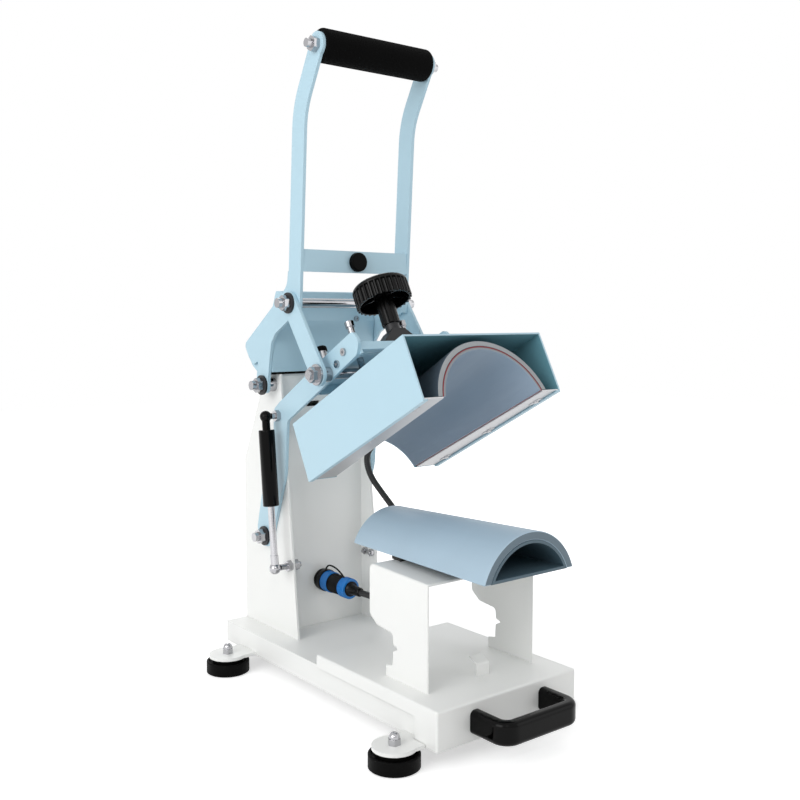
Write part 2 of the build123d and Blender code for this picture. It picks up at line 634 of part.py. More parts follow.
def make_arms():
    outline = [(190.5, 448.0, 8), (178.0, 437.0, 9), (181.0, 421.0, 9), (243.1, 383.9, 40), (334.0, 331.5, 12),
               (339.4, 262.0, 60), (373.0, 176.0, 10), (378.0, 160.5, 11), (401.0, 158.0, 13), (412.0, 181.0, 12),
               (400.0, 226.0, 60), (368.0, 300.0, 60), (366.5, 344.0, 10), (352.0, 354.5, 10), (253.1, 413.5, 60)]
    left = plate(outline, ARM_X, ARM_X + ARM_T)
    left -= cross_bar(ARM_PIVOT, SHAFT_R + RUN, 0, 100)
    left -= cross_bar(LINK_ON_ARM, SHAFT_R + SEAT, 0, 100)
    screws = []
    for s, h in ARM_SCREWS:
        at = casing_point(s, h)
        left -= cross_bar(at, 2.5 + SEAT, 0, 100)
        screw = cross_bar(at, 2.5, ARM_X - 9, ARM_X + ARM_T)
        screw += cross_bar(at, 4.6, ARM_X + ARM_T, ARM_X + ARM_T + 2.4)
        screw -= hex_nut((ARM_X + ARM_T + 1.0, *at), (1, 0, 0), 3.6, 3)
        screws += both(screw)
    keep("arm_plates", left, mirrored(left) - cross_bar(STRUT_HIGH, BALL_STUD_R + SEAT, -100, 0))
    out = LINK_X + LINK_T + GAP
    end = out + WASHER_T + NUT_T + BOLT_END - 3.5
    shaft = cross_bar(LINK_ON_ARM, SHAFT_R, -end, end)
    for side in (-1, 1):
        x = sorted((side * (ARM_X + ARM_T), side * (LINK_X - GAP)))
        shaft += cross_bar(LINK_ON_ARM, SHAFT_R + 3, x[0], x[1])
    keep("link_shaft", shaft)
    keep("arm_fasteners", washer_pair(LINK_ON_ARM, out), pivot_nuts(LINK_ON_ARM, out + WASHER_T), screws)


def make_bridge():
    """Folded plate between the arms that holds the pressure nut and guides the casing."""
    s0, s1 = BRIDGE_S
    x = ARM_X
    plate_part = block(-x, x, s0, s1, BRIDGE_H, BRIDGE_H + BRIDGE_T)
    plate_part += block(-x, x, s0, s0 + BRIDGE_T, BRIDGE_H - 7.0, BRIDGE_H + BRIDGE_T)
    plate_part += block(-x, x, s1 - BRIDGE_T, s1, BRIDGE_H - 12.0, BRIDGE_H + BRIDGE_T)
    for side in (-1, 1):
        flange = sorted((side * x, side * (x - BRIDGE_T)))
        plate_part += block(flange[0], flange[1], s0, s0 + BRIDGE_EAR, *BRIDGE_EAR_H)
        plate_part -= bar((side * PIN_X, PIN_S, 90), (0, 0, 1), PIN_R + RUN, 60)
    plate_part -= bar((0, SCREW_S, 90), (0, 0, 1), 12 + SEAT, 60)
    bridge = in_casing(plate_part)
    bridge -= cross_bar(LINK_ON_ARM, SHAFT_R + SEAT, -100, 100)
    for s, h in ARM_SCREWS:
        bridge -= cross_bar(casing_point(s, h), 2.5 + SEAT, -100, 100)
    keep("arm_bridge", bridge)
    low = BRIDGE_H + BRIDGE_T
    saddle = [(-28, low), (-9, low + 18), (9, low + 18), (28, low)]
    face = make_face(Plane.XZ.offset(-SCREW_S + 11) * Polyline(*saddle, close=True))
    housing = extrude(face, amount=22, dir=(0, 1, 0))
    housing += bar((0, SCREW_S, BRIDGE_H - 5), (0, 0, 1), 12, BRIDGE_T + 6)
    housing += bar((0, SCREW_S, low), (0, 0, 1), 8.8, NUT_HOUSING_TOP - low)
    housing -= bar((0, SCREW_S, 90), (0, 0, 1), SHAFT_R + RUN, 100)
    keep("screw_nut", in_casing(housing))
    post = bar((*STOP_AT, low), (0, 0, 1), 6.5, STOP_TALL)
    keep("stop_post", in_casing(post))
    cap = bar((*STOP_AT, low + STOP_TALL), (0, 0, 1), 8.0, 6.5)
    cap = fillet(cap.edges().filter_by(GeomType.CIRCLE).sort_by(Axis.Z)[-1], 2.5)
    keep("stop_cap", in_casing(cap))


def make_links():
    shape = SlotCenterToCenter(math.dist(LINK_ON_ARM, KNEE), 2 * LINK_HALF)
    middle = ((LINK_ON_ARM[0] + KNEE[0]) / 2, (LINK_ON_ARM[1] + KNEE[1]) / 2)
    lean = math.radians(angle_of(LINK_ON_ARM, KNEE))
    seat = Plane(origin=(LINK_X, *middle), x_dir=(0, math.cos(lean), math.sin(lean)), z_dir=(1, 0, 0))
    link = seat * extrude(shape, amount=LINK_T)
    link -= cross_bar(LINK_ON_ARM, SHAFT_R + RUN, 0, 120)
    link -= cross_bar(KNEE, SHAFT_R + SEAT, 0, 120)
    keep("link_plates", both(link))
    out = LINK_X + LINK_T
    keep("knee_washers", washer_pair(KNEE, out))
    end = out + WASHER_T + NUT_T + BOLT_END
    stub = cross_bar(KNEE, SHAFT_R, LINK_X, end)
    keep("knee_bolts", pivot_nuts(KNEE, out + WASHER_T) + both(stub))


def make_handle():
    centre = FilletPolyline((0, 297.0, 470.0), (0, 281.5, 712.0), (0, *GRIP_AT), radius=(100,))
    section = Plane(origin=centre @ 0, x_dir=(1, 0, 0), z_dir=centre % 0) * Rectangle(HANDLE_T, 2 * STRIP_HALF)
    strip = Pos(HANDLE_X + HANDLE_T / 2, 0, 0) * sweep(section, path=centre)
    x0, x1 = HANDLE_X, HANDLE_X + HANDLE_T
    strip += cross_bar(GRIP_AT, 15.0, x0, x1) + cross_bar(KNEE, 15.5, x0, x1)
    crank = [(284.0, 494.0), (288.0, 471.0, 12), (314.0, 457.6, 6), (341.0, 443.0, 10), (351.0, 431.0, 10),
             (356.0, 408.0, 10), (360.0, 384.0, 4), (361.0, 366.0, 9), (384.0, 364.0, 12), (388.5, 387.0, 4),
             (384.0, 407.5, 2), (398.5, 400.8, 2), (408.5, 411.5, 4), (419.5, 427.5, 7), (349.0, 475.5, 20),
             (312.0, 502.0, 20), (309.0, 520.0)]
    strip += plate(crank, x0, x1)
    strip -= cross_bar(HANDLE_PIVOT, SHAFT_R + RUN, 0, 120)
    strip -= cross_bar(KNEE, SHAFT_R + SEAT, 0, 120)
    strip -= cross_bar(GRIP_AT, 5 + SEAT, 0, 120)
    frame = strip + mirrored(strip)
    low, high = CROSSBAR_Z
    frame += block(-x0, x0, CROSSBAR_Y, CROSSBAR_Y + HANDLE_T, low, high)
    mid = (low + high) / 2
    frame -= bar((0, CROSSBAR_Y - 1, mid), (0, 1, 0), 3 + SEAT, HANDLE_T + 2)
    core = cross_bar(GRIP_AT, GRIP_CORE_R, -x0, x0)
    frame += core - cross_bar(GRIP_AT, 5 + SEAT, -x0, x0)
    keep("handle_frame", frame)
    bumper = bar((0, CROSSBAR_Y, mid), (0, -1, 0), BUMPER_R, BUMPER_L)
    bumper = fillet(bumper.edges().filter_by(GeomType.CIRCLE).sort_by(Axis.Y)[0], 2)
    bumper += bar((0, CROSSBAR_Y - 1, mid), (0, 1, 0), 3, HANDLE_T + 5)
    keep("handle_bumper", bumper)
    keep("knee_shaft", cross_bar(KNEE, SHAFT_R, -x1, x1))
    bolt = cross_bar(GRIP_AT, 5.0, -x1 - 14, x1 + 14)
    nuts = both(hex_nut((x1, *GRIP_AT), (1, 0, 0), 16, 7.5, 5 + SEAT))
    keep("grip_bolt", bolt, nuts)
    foam = cross_bar(GRIP_AT, GRIP_R, -x0 + GAP, x0 - GAP)
    foam = fillet(foam.edges().filter_by(GeomType.CIRCLE), 2.5)
    keep("grip_foam", foam - cross_bar(GRIP_AT, GRIP_CORE_R + SEAT, -x0, x0))


def make_casing():
    half, tall, length = CASING_HALF, CASING_H, CASING_LENGTH
    inner = half - SHEET
    case = block(-half, half, 0, length, 0, tall)
    case -= block(-inner, inner, -1, length + 1, SHEET, tall - SHEET)
    mouth = half - CASING_LIP
    case -= block(-mouth, mouth, -1, length + 1, -1, SHEET + 1)
    rear = block(-inner, inner, length - SHEET, length, SHEET, tall - SHEET)
    rear -= bar((0, length - SHEET - 1, -HEATER_DROP), (0, 1, 0), HEATER_R_REAR + 1.5, SHEET + 2)
    rear -= bar((GLAND_X, length - SHEET - 1, GLAND_H), (0, 1, 0), GLAND_R - 1 + SEAT, SHEET + 2)
    case += rear
    case += bar((0, SCREW_S, tall), (0, 0, 1), 15, 13)
    case -= bar((0, SCREW_S, tall + 3), (0, 0, 1), SHAFT_R + RUN, 20)
    for side in (-1, 1):
        case -= bar((side * PIN_X, PIN_S, tall - SHEET - 1), (0, 0, 1), PIN_R - 1 + SEAT, SHEET + 2)
    keep("upper_casing", in_casing(case))
    pins = []
    for side in (-1, 1):
        pin = bar((side * PIN_X, PIN_S, tall), (0, 0, 1), PIN_R, PIN_TOP - tall)
        pin += bar((side * PIN_X, PIN_S, PIN_TOP - 7), (0, 0, 1), PIN_HEAD_R, 7)
        pin -= hex_nut((side * PIN_X, PIN_S, PIN_TOP - 4), (0, 0, 1), 5.0, 5)
        pin += bar((side * PIN_X, PIN_S, tall - SHEET - 4), (0, 0, 1), PIN_R - 1, SHEET + 5)
        pins.append(in_casing(pin))
    keep("guide_pins", pins)


def make_heater():
    base = block(-100, 100, 0, CASING_LENGTH, STRIP_T + SHEET, CASING_H)
    first = 0.5
    length = CASING_LENGTH - SHEET - 1.0

    def arch(depth):
        cone = tapered(HEATER_R_FRONT + depth, HEATER_R_REAR + depth, first, length, -HEATER_DROP)
        return cone & base

    pad = arch(HEATER_PAD_T) - arch(0)
    element = arch(HEATER_PAD_T + ELEMENT_T) - arch(HEATER_PAD_T)
    depth = HEATER_PAD_T + ELEMENT_T + MAT_T
    mat = arch(depth) - arch(HEATER_PAD_T + ELEMENT_T)
    keep("heater_pad", in_casing(pad))
    keep("heater_element", in_casing(element))
    keep("heater_mat", in_casing(mat))
    strips, clips = [], []
    low_half = math.sqrt(HEATER_R_FRONT ** 2 - (HEATER_DROP + SHEET) ** 2) + HEATER_PAD_T + 0.5
    rear_half = low_half - (HEATER_R_FRONT - HEATER_R_REAR)
    outer = CASING_HALF - SHEET - 0.4
    corners = [(low_half, first), (outer, first), (outer, first + length), (rear_half, first + length)]
    strip = Pos(0, 0, SHEET) * extrude(make_face(Polyline(*corners, close=True)), amount=STRIP_T, dir=(0, 0, 1))
    for s in (32.0, 120.5, 209.0):
        x = CASING_HALF - CASING_LIP - 3.5
        strip -= bar((x, s, 0), (0, 0, 1), 2.0 + SEAT, 6)
        clip = bar((x, s, SHEET), (0, 0, -1), 3.2, 1.6) + bar((x, s, SHEET - 0.5), (0, 0, 1), 2.0, 6.0)
        clip += block(x - 4.2, x + 3.2, s - 9, s + 9, SHEET - 0.6, SHEET)
        clips += both(clip)
    strips = both(strip)
    keep("flange_strips", [in_casing(s) for s in strips])
    keep("flange_clips", [in_casing(c) for c in clips])


def make_knob():
    rim_low = KNOB_TOP - KNOB_RIM_H
    knob = bar((0, SCREW_S, rim_low), (0, 0, 1), KNOB_R, KNOB_RIM_H)
    knob = fillet(knob.edges().filter_by(GeomType.CIRCLE).sort_by(Axis.Z)[-1], 5)
    knob -= bar((0, SCREW_S, rim_low - 1), (0, 0, 1), KNOB_R - 3.9, KNOB_RIM_H - 3)
    groove = KNOB_R * math.pi / KNOB_RIBS * 0.75
    for i in range(KNOB_RIBS):
        a = 2 * math.pi * i / KNOB_RIBS
        at = (KNOB_R * math.cos(a), SCREW_S + KNOB_R * math.sin(a), rim_low - 1)
        knob -= bar(at, (0, 0, 1), groove, KNOB_RIM_H - 5)
    knob += bar((0, SCREW_S, HUB_LOW), (0, 0, 1), HUB_R, KNOB_TOP - 4 - HUB_LOW)
    for i in range(6):
        web = Pos(0, SCREW_S, rim_low + 8) * Rot(0, 0, 60 * i) * Pos(KNOB_R / 2, 0, 0)
        knob += web * Box(KNOB_R - 6, 2.0, KNOB_RIM_H - 12, align=(Align.CENTER, Align.CENTER, Align.MIN))
        flute = Pos(0, SCREW_S, HUB_LOW - 1) * Rot(0, 0, 60 * i + 30) * Pos(HUB_R + 1.5, 0, 0)
        knob -= flute * Cylinder(4.0, rim_low + 8 - HUB_LOW, align=(Align.CENTER, Align.CENTER, Align.MIN))
    screw_low = CASING_H + 3.5
    knob -= bar((0, SCREW_S, HUB_LOW - 1), (0, 0, 1), SHAFT_R + SEAT, KNOB_TOP - 8 - HUB_LOW + 1)
    screw = bar((0, SCREW_S, screw_low), (0, 0, 1), SHAFT_R, KNOB_TOP - 8.5 - screw_low)
    keep("pressure_knob", in_casing(knob))
    keep("pressure_screw", in_casing(screw))


def make_strut():
    a = math.radians(STRUT_ANGLE)
    way = (0, math.cos(a), math.sin(a))
    down = (0, -math.cos(a), -math.sin(a))
    length = math.dist(STRUT_LOW, STRUT_HIGH)
    low = (STRUT_X, *STRUT_LOW)
    high = (STRUT_X, *STRUT_HIGH)
    end_l = 17.0
    rod = Pos(*low) * Sphere(BALL_R) + bar(low, way, 5.2, end_l)
    flat = block(STRUT_X - BALL_R, STRUT_X + BALL_R, 0, 500, 0, 800)
    top_of_rod = length - end_l - 10.0 - STRUT_SHORTER
    rod += bar(low, way, ROD_R, top_of_rod)
    rod &= flat
    keep("strut_rod", mirrored(rod))
    cylinder_top = Vector(high) + Vector(down) * end_l
    cylinder = bar(tuple(cylinder_top), down, CYL_R, CYL_L)
    cylinder = fillet(cylinder.edges().filter_by(GeomType.CIRCLE), 1.5)
    cylinder -= bar(tuple(cylinder_top + Vector(down) * 8), down, ROD_R + RUN, CYL_L)
    end = Pos(*high) * Sphere(BALL_R) + bar(high, down, 5.2, end_l)
    keep("strut_cylinder", mirrored(cylinder), mirrored(end & flat))


def make_controls():
    y, z = PANEL_AT
    x0, x1 = COL_HALF, COL_HALF + PANEL_T
    bezel = block(x0, x1, y - PANEL_W / 2, y + PANEL_W / 2, z - PANEL_TALL / 2, z + PANEL_TALL / 2)
    bezel = fillet(bezel.edges().filter_by(Axis.X), 6)
    window = (y - 34, y + 34, z - 4, z + 30)
    bezel -= block(x1 - 2, x1 + 1, *window)
    button_z = z - 22
    for dy in (-26, 0, 26):
        bezel -= bar((x0 - 1, y + dy, button_z), (1, 0, 0), BUTTON_R + GAP, PANEL_T + 2)
    keep("controller_bezel", bezel)
    keep("display_window", block(x1 - 2, x1 - 0.4, window[0] + SEAT, window[1] - SEAT, window[2] + SEAT,
                                 window[3] - SEAT))
    board_x = x0 - 8
    near, far = PANEL_Y + COL_WALL + 1, y + PANEL_W / 2 - 8
    board = block(board_x, board_x + 1.6, near, far, z - PANEL_TALL / 2 + 7, z + PANEL_TALL / 2 - 7)
    for y0 in (near, far - 5):
        board += block(board_x, x0, y0, y0 + 5, z + PANEL_TALL / 2 - 12, z + PANEL_TALL / 2 - 7)
    keep("controller_board", board)
    for name, dy in (("button_down", -26), ("button_up", 0), ("button_set", 26)):
        cap = bar((board_x + 1.6 + BUTTON_TRAVEL + GAP, y + dy, button_z), (1, 0, 0), BUTTON_R,
                  x1 + 2.2 - (board_x + 1.6 + BUTTON_TRAVEL + GAP))
        cap = fillet(cap.edges().filter_by(GeomType.CIRCLE).sort_by(Axis.X)[-1], 1.0)
        keep(name, cap)
    rear = COL_REAR
    inlet = block(-18, 18, rear + 0.05, rear + 2.4, INLET_Z - 13, INLET_Z + 39)
    inlet += block(-14, 14, rear - 24, rear + 1, INLET_Z - 10, INLET_Z + 10)
    inlet += block(-11, 11, rear - 18, rear + 1, INLET_Z + 21, INLET_Z + 35)
    inlet -= block(-12, 12, rear - 18, rear + 3, INLET_Z - 8, INLET_Z + 8)
    inlet -= block(-9.5, 9.5, rear - 12, rear + 3, INLET_Z + 22.5, INLET_Z + 33.5)
    for x, dz in ((-7, -2), (0, 2), (7, -2)):
        inlet += block(x - 1, x + 1, rear - 19, rear - 4, INLET_Z + dz - 2, INLET_Z + dz + 2)
    keep("power_inlet", inlet - cross_bar(ROCKER_AT, ROCKER_PIN_R + RUN, -10.6, 10.6))
    y, z = ROCKER_AT
    profile = [(y + 2.2, z + 5.0), (y + 0.6, z), (y + 2.2, z - 5.0), (y - 5.0, z - 2.5), (y - 5.0, z + 2.5)]
    profile = [turned(point, ROCKER_AT, ROCKER_TILT / 2) for point in profile]
    keep("power_rocker", plate(profile, -9.1, 9.1) + cross_bar(ROCKER_AT, ROCKER_PIN_R, -10.4, 10.4))


def write_all():
    os.makedirs("parts", exist_ok=True)
    to_middle = Pos(0, TO_MIDDLE, 0)
    for name, solids in pieces.items():
        parts = []
        for solid in solids:
            parts += [to_middle * s for s in solid.solids()]
        export_step(parts[0] if len(parts) == 1 else Compound(children=parts), f"parts/{name}.step")
    print(len(pieces), "nodes")


def report_joints():
    """Joint places and angles for the record, in the moved frame."""
    def place(p):
        return (round(p[0] + TO_MIDDLE, 3), round(p[1], 3))

    print("move along Y", round(TO_MIDDLE, 3))
    print("arm pivot", place(ARM_PIVOT), "swing", ARM_SWING)
    print("handle pivot", place(HANDLE_PIVOT), "swing", round(HANDLE_SWING, 4), "ratio",
          round(HANDLE_SWING / ARM_SWING, 6))
    print("link on arm", place(LINK_ON_ARM), "turn", round(LINK_TURN, 4), "ratio", round(LINK_TURN / ARM_SWING, 6))
    print("knee", place(KNEE), "link length", round(LINK_L, 3))
    print("strut", place(STRUT_LOW), "turn", round(STRUT_TURN, 4), "ratio", round(STRUT_TURN / ARM_SWING, 6),
          "angle", round(STRUT_ANGLE, 4), "shorter", round(STRUT_SHORTER, 4), "m per rad",
          round(STRUT_SHORTER / 1000 / math.radians(ARM_SWING), 7))
    print("drawer travel", DRAWER_TRAVEL, "lift", LIFT, "turns", LIFT / SCREW_PITCH)
    print("casing corner", place(CASING_CORNER), "screw axis at", place(casing_point(SCREW_S, CASING_H)))


for make in (make_base, make_feet, make_column, make_back_cover, make_head, make_frame_pivots, make_ball_studs,
             make_socket, make_plug, make_cable, make_drawer, make_runners, make_pull, make_stand, make_platen,
             make_arms, make_bridge, make_links, make_handle, make_casing, make_heater, make_knob, make_strut,
             make_controls):
    make()
write_all()
report_joints()
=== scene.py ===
# %% [markdown]
# A bench heat press for shin guards, dressed in Blender.
# The solids of the machine are already made and packed, at their real size and place.
# This lesson loads them, gives every surface its finish, and models the soft and turned pieces
# again with more detail than a solid needs. Lengths are in millimetres, measured as the maker of
# the machine would: across it, back from the drawer's front, and up from the table.

# %% Load the solids
import json
import math

import bpy
from mathutils import Matrix, Vector

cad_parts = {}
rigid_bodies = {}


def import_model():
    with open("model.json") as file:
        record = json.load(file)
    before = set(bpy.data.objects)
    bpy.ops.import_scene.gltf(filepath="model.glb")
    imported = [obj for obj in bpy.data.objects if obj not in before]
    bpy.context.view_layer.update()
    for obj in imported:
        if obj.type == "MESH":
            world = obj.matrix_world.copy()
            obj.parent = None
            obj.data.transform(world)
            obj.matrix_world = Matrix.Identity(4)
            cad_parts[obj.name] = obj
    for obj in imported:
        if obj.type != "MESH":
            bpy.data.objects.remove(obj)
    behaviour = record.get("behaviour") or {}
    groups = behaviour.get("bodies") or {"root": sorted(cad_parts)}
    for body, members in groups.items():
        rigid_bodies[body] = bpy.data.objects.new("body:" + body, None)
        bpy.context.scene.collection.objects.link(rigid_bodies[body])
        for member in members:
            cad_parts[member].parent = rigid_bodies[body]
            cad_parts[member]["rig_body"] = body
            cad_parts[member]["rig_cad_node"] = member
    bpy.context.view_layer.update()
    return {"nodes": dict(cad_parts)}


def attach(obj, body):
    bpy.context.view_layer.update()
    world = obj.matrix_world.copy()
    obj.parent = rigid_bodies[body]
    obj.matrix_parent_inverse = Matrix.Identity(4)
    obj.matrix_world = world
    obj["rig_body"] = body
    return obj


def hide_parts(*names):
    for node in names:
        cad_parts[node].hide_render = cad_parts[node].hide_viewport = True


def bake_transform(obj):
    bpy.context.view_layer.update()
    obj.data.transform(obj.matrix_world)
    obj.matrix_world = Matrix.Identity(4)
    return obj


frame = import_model()
node = frame["nodes"]

# %% [markdown]
# Two small helpers come first. The machine is drawn from the drawer's front face, but its origin
# lies under the middle of its length, so one function turns the maker's millimetres into a place in
# the scene. The other clears the selection, because an operator acts on all that is selected.

# %% Places and selection
MM = 0.001
DRAWER_FRONT = -201.7      # where the drawer's front face lies from the origin


def at(across, back, up):
    """A place in the scene from millimetres across, back from the drawer's front, and up."""
    return Vector((across, back + DRAWER_FRONT, up)) * MM


def only(piece):
    """Makes one piece the only one that operators act on."""
    if bpy.context.object and bpy.context.object.mode != "OBJECT":
        bpy.ops.object.mode_set(mode="OBJECT")
    bpy.ops.object.select_all(action="DESELECT")
    bpy.context.view_layer.objects.active = piece
    piece.select_set(True)


def settle(piece, body, slot, *stands_for):
    """Fixes a finished piece at the origin and lets it ride on its body."""
    only(piece)
    bpy.ops.object.transform_apply(location=True, rotation=True, scale=True)
    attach(piece, body)
    if stands_for:
        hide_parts(*stands_for)
    print(piece.name, len(piece.data.vertices), "vertices")


# %% [markdown]
# The camera stands low in front, to the left, as the photographer did. Its distance and lens were
# worked out from the straight edges of the machine. A short lens close by would bend the drawer
# more than the picture shows, so this one is a moderate 45 mm at a little over a metre.

# %% Camera
CAMERA_AT = at(-739.3, -745.6, 465.4)
CAMERA_LENS = 44.7
SENSOR_WIDTH = 36
CAMERA_TURN = 38.24        # degrees to the right of straight ahead
CAMERA_DIP = 4.85          # degrees below the horizon

bpy.ops.object.camera_add(location=CAMERA_AT)
camera = bpy.context.object
camera.name = "camera"
camera.rotation_euler = (math.radians(90 - CAMERA_DIP), 0, math.radians(-CAMERA_TURN))
camera.data.lens = CAMERA_LENS
camera.data.sensor_width = SENSOR_WIDTH
bpy.context.scene.camera = camera
print("camera", round(camera.location.length, 2), "m from the origin")

# %% [markdown]
# Paint, rubber and metal differ in three things: their colour, how sharply they mirror the room,
# and the fine relief on their surface. One function makes the part that all finishes share. It
# takes a colour as it is seen on a screen, mottles it slightly, adds fine relief by noise, and
# rounds the sharp edges of the sheet in the shading, where a real edge always catches light.

# %% The start of every finish
def seen(red, green, blue):
    """A colour as read from a screen, 0 to 255, made linear."""
    shares = (red / 255, green / 255, blue / 255)
    return tuple(((c + 0.055) / 1.055) ** 2.4 if c > 0.0404 else c / 12.92 for c in shares)


def add(tree, kind, **values):
    """A shader node whose sockets start at the given values."""
    made = tree.nodes.new(kind)
    for name, value in values.items():
        made.inputs[name.replace("_", " ")].default_value = value
    return made


def combine(tree, operation, first, second):
    """A math node on two values, each of them a socket or a plain number."""
    made = tree.nodes.new("ShaderNodeMath")
    made.operation = operation
    for socket, value in zip(made.inputs, (first, second)):
        if isinstance(value, float):
            socket.default_value = value
        else:
            tree.links.new(value, socket)
    return made.outputs["Value"]


CLOUD_SCALE = 18.0         # mottling, in clouds per metre
ROUGH_SPREAD = 0.06        # how far the gloss wanders with the clouds


def finish(name, colour, rough, metal=0.0, mottle=0.06, grain=400.0, relief=0.05, edge=0.5,
           sheen=0.0, gleam=0.5):
    """A finish with a mottled colour, a fine relief of the given grain and softened edges.

    The edge is in millimetres. The gleam is how strongly a surface that isn't metal mirrors the room.
    """
    made = bpy.data.materials.new(name)
    made.use_nodes = True
    tree = made.node_tree
    surface = tree.nodes["Principled BSDF"]
    surface.inputs["Metallic"].default_value = metal
    surface.inputs["Sheen Weight"].default_value = sheen
    surface.inputs["Specular IOR Level"].default_value = gleam
    place = tree.nodes.new("ShaderNodeTexCoord")
    cloud = add(tree, "ShaderNodeTexNoise", Scale=CLOUD_SCALE, Detail=4.0)
    tree.links.new(place.outputs["Object"], cloud.inputs["Vector"])
    tint = tree.nodes.new("ShaderNodeMix")
    tint.data_type = "RGBA"
    tint.inputs["A"].default_value = (*(c * (1 - mottle) for c in colour), 1)
    tint.inputs["B"].default_value = (*(min(1.0, c * (1 + mottle)) for c in colour), 1)
    tree.links.new(cloud.outputs["Fac"], tint.inputs["Factor"])
    tree.links.new(tint.outputs["Result"], surface.inputs["Base Color"])
    gloss = tree.nodes.new("ShaderNodeMapRange")
    gloss.inputs["To Min"].default_value = max(0.02, rough - ROUGH_SPREAD)
    gloss.inputs["To Max"].default_value = min(1.0, rough + ROUGH_SPREAD)
    tree.links.new(cloud.outputs["Fac"], gloss.inputs["Value"])
    tree.links.new(gloss.outputs["Result"], surface.inputs["Roughness"])
    fine = add(tree, "ShaderNodeTexNoise", Scale=grain, Detail=3.0)
    tree.links.new(place.outputs["Object"], fine.inputs["Vector"])
    bump = add(tree, "ShaderNodeBump", Strength=relief, Distance=MM)
    tree.links.new(fine.outputs["Fac"], bump.inputs["Height"])
    if edge:
        corner = add(tree, "ShaderNodeBevel", Radius=edge * MM)
        corner.samples = 4
        tree.links.new(corner.outputs["Normal"], bump.inputs["Normal"])
    tree.links.new(bump.outputs["Normal"], surface.inputs["Normal"])
    return made


# %% [markdown]
# The sheet metal is powder coated. The powder melts into a smooth coat with a faint orange peel,
# so both paints get a fine grain, a satin gloss and edges rounded by more than half a millimetre.

# %% Paints
LIGHT_BLUE = seen(178, 209, 223)
white_paint = finish("white_powder_coat", seen(238, 239, 237), 0.36, mottle=0.012, relief=0.08, edge=0.8)
blue_paint = finish("blue_powder_coat", LIGHT_BLUE, 0.34, mottle=0.02, relief=0.08, edge=0.6)
print("paints", white_paint.name, blue_paint.name)

# %% [markdown]
# The casing is a deep tray, and its inside lies in shade, so the inside gets a painted shade:
# a darker blue in the colour of the same powder coat. The tray hangs at a tilt. A mapping turns
# each place into the tray's own directions, and what lies within the inner box gets the darker tone.

# %% Casing paint
CASING_TILT = math.radians(27.5)
CASING_CORNER = at(0, 25.7, 379.58)
CASING_TURN = Matrix.Rotation(-CASING_TILT, 3, "X")
INNER_MIDDLE = Vector((0, 120, 37.5))      # from the corner, along the tray's own directions
INNER_HALF = Vector((99.6, 119.6, 36))
# The darker blue below is painted shade for the inside of the tray.
INSIDE_PAINTED_SHADE = seen(104, 154, 168)
tray_paint_and_shade = finish("casing_coat_and_painted_shade", LIGHT_BLUE, 0.34, mottle=0.02, relief=0.08, edge=0.6)
tree = tray_paint_and_shade.node_tree
in_tray = add(tree, "ShaderNodeMapping", Rotation=(-CASING_TILT, 0, 0),
              Location=CASING_CORNER + CASING_TURN @ INNER_MIDDLE * MM)
in_tray.vector_type = "TEXTURE"
tree.links.new(tree.nodes["Texture Coordinate"].outputs["Object"], in_tray.inputs["Vector"])
off_middle = tree.nodes.new("ShaderNodeVectorMath")
off_middle.operation = "ABSOLUTE"
tree.links.new(in_tray.outputs["Vector"], off_middle.inputs[0])
beyond = tree.nodes.new("ShaderNodeVectorMath")
beyond.operation = "SUBTRACT"
beyond.inputs[1].default_value = INNER_HALF * MM
tree.links.new(off_middle.outputs["Vector"], beyond.inputs[0])
parts = tree.nodes.new("ShaderNodeSeparateXYZ")
tree.links.new(beyond.outputs["Vector"], parts.inputs["Vector"])
furthest = combine(tree, "MAXIMUM", parts.outputs["X"], parts.outputs["Y"])
furthest = combine(tree, "MAXIMUM", furthest, parts.outputs["Z"])
inside = combine(tree, "LESS_THAN", furthest, 0.0)
coat_and_shade_mix = tree.nodes.new("ShaderNodeMix")
coat_and_shade_mix.data_type = "RGBA"
coat_and_shade_mix.inputs["B"].default_value = (*INSIDE_PAINTED_SHADE, 1)
surface = tree.nodes["Principled BSDF"]
tree.links.new(surface.inputs["Base Color"].links[0].from_socket, coat_and_shade_mix.inputs["A"])
tree.links.new(inside, coat_and_shade_mix.inputs["Factor"])
tree.links.new(coat_and_shade_mix.outputs["Result"], surface.inputs["Base Color"])
print("casing paint", len(tree.nodes), "shader nodes")

# %% [markdown]
# Plated bolts mirror the studio, and turned rods mirror it less sharply. Blackened steel is dull.
# The cast shell of the platen is sprayed blue-grey and keeps the grain of its mould.

# %% Metals
chrome = finish("bright_plate", seen(176, 176, 179), 0.14, metal=1.0, mottle=0.05, grain=900,
                relief=0.03, edge=0.3)
bare_steel = finish("turned_steel", seen(190, 190, 192), 0.3, metal=1.0, grain=1200, relief=0.08, edge=0.3)
black_steel = finish("blackened_steel", seen(30, 30, 32), 0.42, metal=0.3, grain=700, relief=0.06,
                     edge=0.3)
strip_metal = finish("flange_metal", seen(196, 196, 198), 0.4, metal=0.85, grain=250, relief=0.1)
shell_coat = finish("shell_coat", seen(70, 92, 104), 0.5, grain=260, relief=0.14)
print("metals", chrome.name, bare_steel.name, black_steel.name, strip_metal.name, shell_coat.name)

# %% [markdown]
# Moulded plastic is smooth but never a mirror. Only the drawer's handle and the gas spring have a
# high gloss. The spacers of fibre board are the dullest of these.

